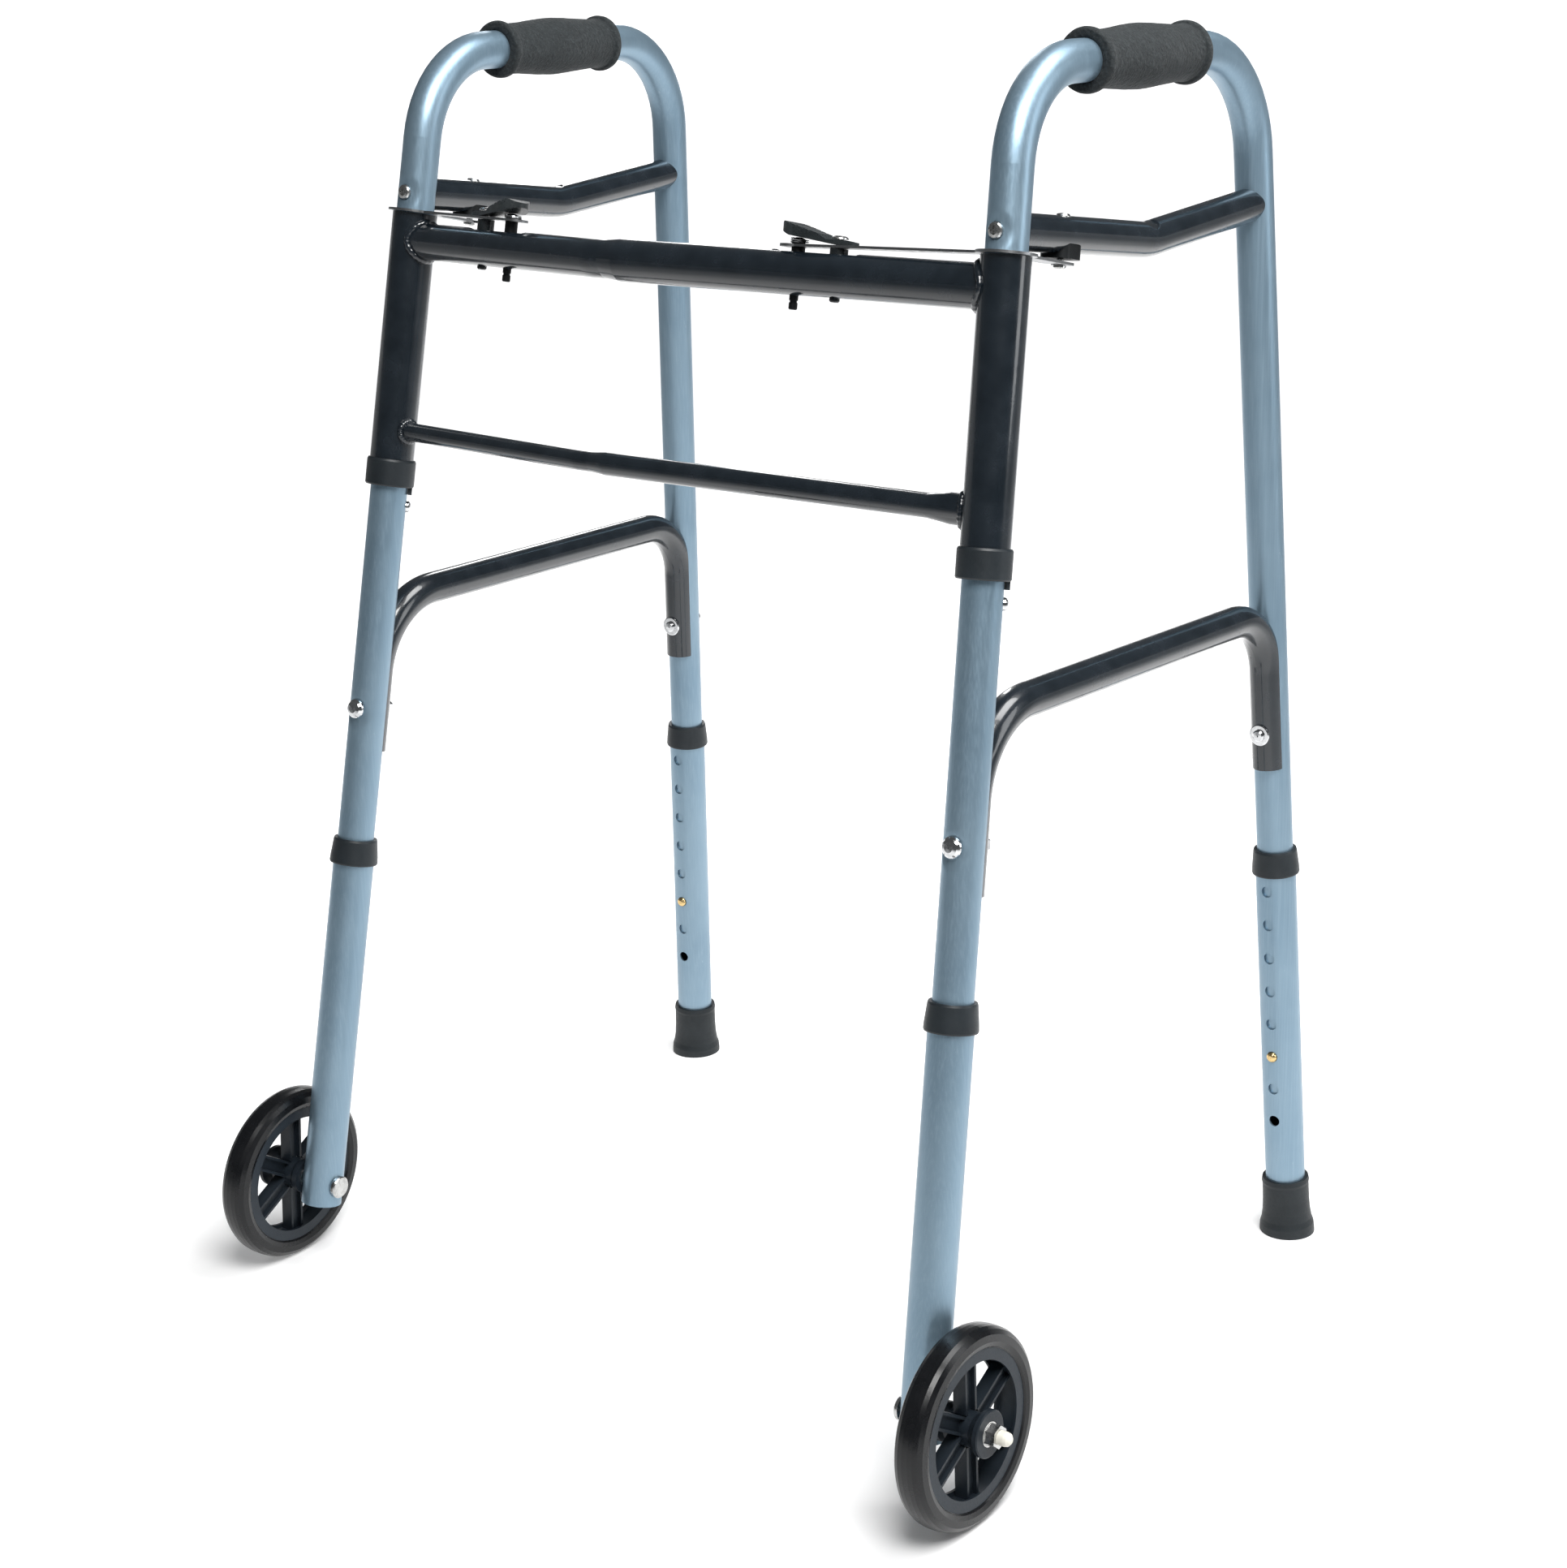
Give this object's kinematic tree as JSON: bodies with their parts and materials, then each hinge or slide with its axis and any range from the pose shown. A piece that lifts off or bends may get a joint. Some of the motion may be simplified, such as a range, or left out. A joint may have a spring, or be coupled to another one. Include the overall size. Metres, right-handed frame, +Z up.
{
  "type": "front wheeled walker",
  "caption": "Folding walking frame with foam hand grips, height-adjustable legs, front wheels and rear rubber tips; side frames fold in against a black cross frame.",
  "frame": {"origin": "centre of the bounding box, on the floor", "axes": "+Z up, -Y towards the front of the walker, +X towards the user's left"},
  "size_m": [0.6776, 0.588, 0.8635],
  "materials": {
    "blue_tube": "satin anodised",
    "black_paint": "gloss black",
    "moulded_black": "moulded",
    "grip_foam": "closed-cell foam",
    "tyre": "moulded",
    "hub_plastic": "moulded, semi-matte",
    "zinc_steel": "zinc plated",
    "chrome_steel": "bright plated",
    "brass_button": "polished",
    "tip_rubber": "moulded rubber",
    "latch_steel": "spring steel",
    "pad_plastic": "moulded",
    "cap_plastic": "moulded"
  },
  "bodies": {
    "front_frame": {"upper_crossbar": "black_paint", "lower_crossbar": "black_paint", "left_pivot_sleeve": "black_paint", "left_sleeve_collar": "moulded_black", "left_latch_pivot": "zinc_steel", "right_pivot_sleeve": "black_paint", "right_sleeve_collar": "moulded_black", "right_latch_pivot": "zinc_steel"},
    "left_side": {"left_side_frame": "blue_tube", "left_hand_grip": "grip_foam", "left_side_bar": "black_paint", "left_bar_plugs": "moulded_black", "left_bar_screws": "zinc_steel", "left_lower_brace": "black_paint", "left_brace_bolts": "chrome_steel", "left_brace_washers": "chrome_steel", "left_lock_pin": "zinc_steel", "left_catch_block": "moulded_black"},
    "left_front_leg": {"left_front_extension": "blue_tube", "left_front_collar": "moulded_black", "left_wheel_axle": "zinc_steel", "left_axle_nut": "zinc_steel", "left_axle_cap": "cap_plastic"},
    "left_rear_leg": {"left_rear_extension": "blue_tube", "left_rear_collar": "moulded_black", "left_foot_tip": "tip_rubber"},
    "left_wheel": {"left_wheel_hub": "hub_plastic", "left_tyre": "tyre"},
    "left_front_button": {"left_front_snap_button": "brass_button"},
    "left_rear_button": {"left_rear_snap_button": "brass_button"},
    "left_retainer": {"left_retaining_button": "chrome_steel"},
    "left_plate": {"left_latch_plate": "latch_steel"},
    "left_pad": {"left_release_pad": "pad_plastic"},
    "left_plunger": {"left_latch_plunger": "moulded_black"},
    "right_side": {"right_side_frame": "blue_tube", "right_hand_grip": "grip_foam", "right_side_bar": "black_paint", "right_bar_plugs": "moulded_black", "right_bar_screws": "zinc_steel", "right_lower_brace": "black_paint", "right_brace_bolts": "chrome_steel", "right_brace_washers": "chrome_steel", "right_lock_pin": "zinc_steel", "right_catch_block": "moulded_black"},
    "right_front_leg": {"right_front_extension": "blue_tube", "right_front_collar": "moulded_black", "right_wheel_axle": "zinc_steel", "right_axle_nut": "zinc_steel", "right_axle_cap": "cap_plastic"},
    "right_rear_leg": {"right_rear_extension": "blue_tube", "right_rear_collar": "moulded_black", "right_foot_tip": "tip_rubber"},
    "right_wheel": {"right_wheel_hub": "hub_plastic", "right_tyre": "tyre"},
    "right_front_button": {"right_front_snap_button": "brass_button"},
    "right_rear_button": {"right_rear_snap_button": "brass_button"},
    "right_retainer": {"right_retaining_button": "chrome_steel"},
    "right_plate": {"right_latch_plate": "latch_steel"},
    "right_pad": {"right_release_pad": "pad_plastic"},
    "right_plunger": {"right_latch_plunger": "moulded_black"}
  },
  "joints": [
    {"name": "left_fold", "type": "hinge", "parent": "front_frame", "child": "left_side", "pos_m": [0.25255, -0.10945, 0.66], "axis": [-0.0363, 0.1966, 0.9798], "range_deg": [0, 74]},
    {"name": "left_front_leg_adjust", "type": "slide", "parent": "left_side", "child": "left_front_leg", "axis": [0.0363, -0.1966, -0.9798], "range_m": [-0.0508, 0.1016]},
    {"name": "left_rear_leg_adjust", "type": "slide", "parent": "left_side", "child": "left_rear_leg", "axis": [0.0455, 0.0441, -0.998], "range_m": [-0.0508, 0.1016]},
    {"name": "left_wheel_spin", "type": "hinge", "parent": "left_front_leg", "child": "left_wheel", "pos_m": [0.30565, -0.23046, 0.06353], "axis": [0.9984, -0.0349, 0.044], "continuous": true},
    {"name": "left_front_button_press", "type": "slide", "parent": "left_side", "child": "left_front_button", "axis": [-0.0428, -0.9799, 0.195], "range_m": [0, 0.0045], "stiffness_N_per_m": 1500, "springref_m": -0.003},
    {"name": "left_rear_button_press", "type": "slide", "parent": "left_side", "child": "left_rear_button", "axis": [0.0329, 0.9984, 0.0456], "range_m": [0, 0.0045], "stiffness_N_per_m": 1500, "springref_m": -0.003},
    {"name": "left_retainer_press", "type": "slide", "parent": "left_side", "child": "left_retainer", "axis": [-0.7363, -0.6682, 0.1068], "range_m": [0, 0.0032], "stiffness_N_per_m": 1500, "springref_m": -0.003},
    {"name": "left_pad_press", "type": "hinge", "parent": "front_frame", "child": "left_pad", "pos_m": [0.1295, -0.08858, 0.73935], "axis": [-0.0404, -0.98, 0.1951], "range_deg": [0, 7], "stiffness_Nm_per_rad": 2.5, "springref_deg": -6.88},
    {"name": "left_plunger_slide", "type": "slide", "parent": "front_frame", "child": "left_plunger", "axis": [-0.008, -0.1949, -0.9808], "range_m": [0, 0.004]},
    {"name": "left_plate_rock", "type": "hinge", "parent": "front_frame", "child": "left_plate", "pos_m": [0.12949, -0.08873, 0.73857], "axis": [-0.0404, -0.98, 0.1951], "range_deg": [0, 0.47]},
    {"name": "right_fold", "type": "hinge", "parent": "front_frame", "child": "right_side", "pos_m": [-0.25255, -0.06845, 0.66], "axis": [-0.0363, -0.1966, -0.9798], "range_deg": [0, 60]},
    {"name": "right_front_leg_adjust", "type": "slide", "parent": "right_side", "child": "right_front_leg", "axis": [-0.0363, -0.1966, -0.9798], "range_m": [-0.0508, 0.1016]},
    {"name": "right_rear_leg_adjust", "type": "slide", "parent": "right_side", "child": "right_rear_leg", "axis": [-0.0455, 0.0441, -0.998], "range_m": [-0.0508, 0.1016]},
    {"name": "right_wheel_spin", "type": "hinge", "parent": "right_front_leg", "child": "right_wheel", "pos_m": [-0.30565, -0.18946, 0.06353], "axis": [0.9984, 0.0349, -0.044], "continuous": true},
    {"name": "right_front_button_press", "type": "slide", "parent": "right_side", "child": "right_front_button", "axis": [0.0428, -0.9799, 0.195], "range_m": [0, 0.0045], "stiffness_N_per_m": 1500, "springref_m": -0.003},
    {"name": "right_rear_button_press", "type": "slide", "parent": "right_side", "child": "right_rear_button", "axis": [-0.0329, 0.9984, 0.0456], "range_m": [0, 0.0045], "stiffness_N_per_m": 1500, "springref_m": -0.003},
    {"name": "right_retainer_press", "type": "slide", "parent": "right_side", "child": "right_retainer", "axis": [-0.6757, -0.7175, 0.169], "range_m": [0, 0.0032], "stiffness_N_per_m": 1500, "springref_m": -0.003},
    {"name": "right_pad_press", "type": "hinge", "parent": "front_frame", "child": "right_pad", "pos_m": [-0.1745, -0.06339, 0.74172], "axis": [0.1464, 0.9688, -0.1998], "range_deg": [0, 7], "stiffness_Nm_per_rad": 2.5, "springref_deg": -6.88},
    {"name": "right_plunger_slide", "type": "slide", "parent": "front_frame", "child": "right_plunger", "axis": [-0.0299, -0.1975, -0.9798], "range_m": [0, 0.004]},
    {"name": "right_plate_rock", "type": "hinge", "parent": "front_frame", "child": "right_plate", "pos_m": [-0.17453, -0.06355, 0.74094], "axis": [0.1464, 0.9688, -0.1998], "range_deg": [0, 0.47]}
  ],
  "couplings": [
    {"joint": "left_plunger_slide", "follows": "left_pad_press", "m_per_rad": 0.032},
    {"joint": "left_plate_rock", "follows": "left_pad_press", "ratio": 0.064286},
    {"joint": "right_plunger_slide", "follows": "right_pad_press", "m_per_rad": 0.032},
    {"joint": "right_plate_rock", "follows": "right_pad_press", "ratio": 0.064286}
  ]
}
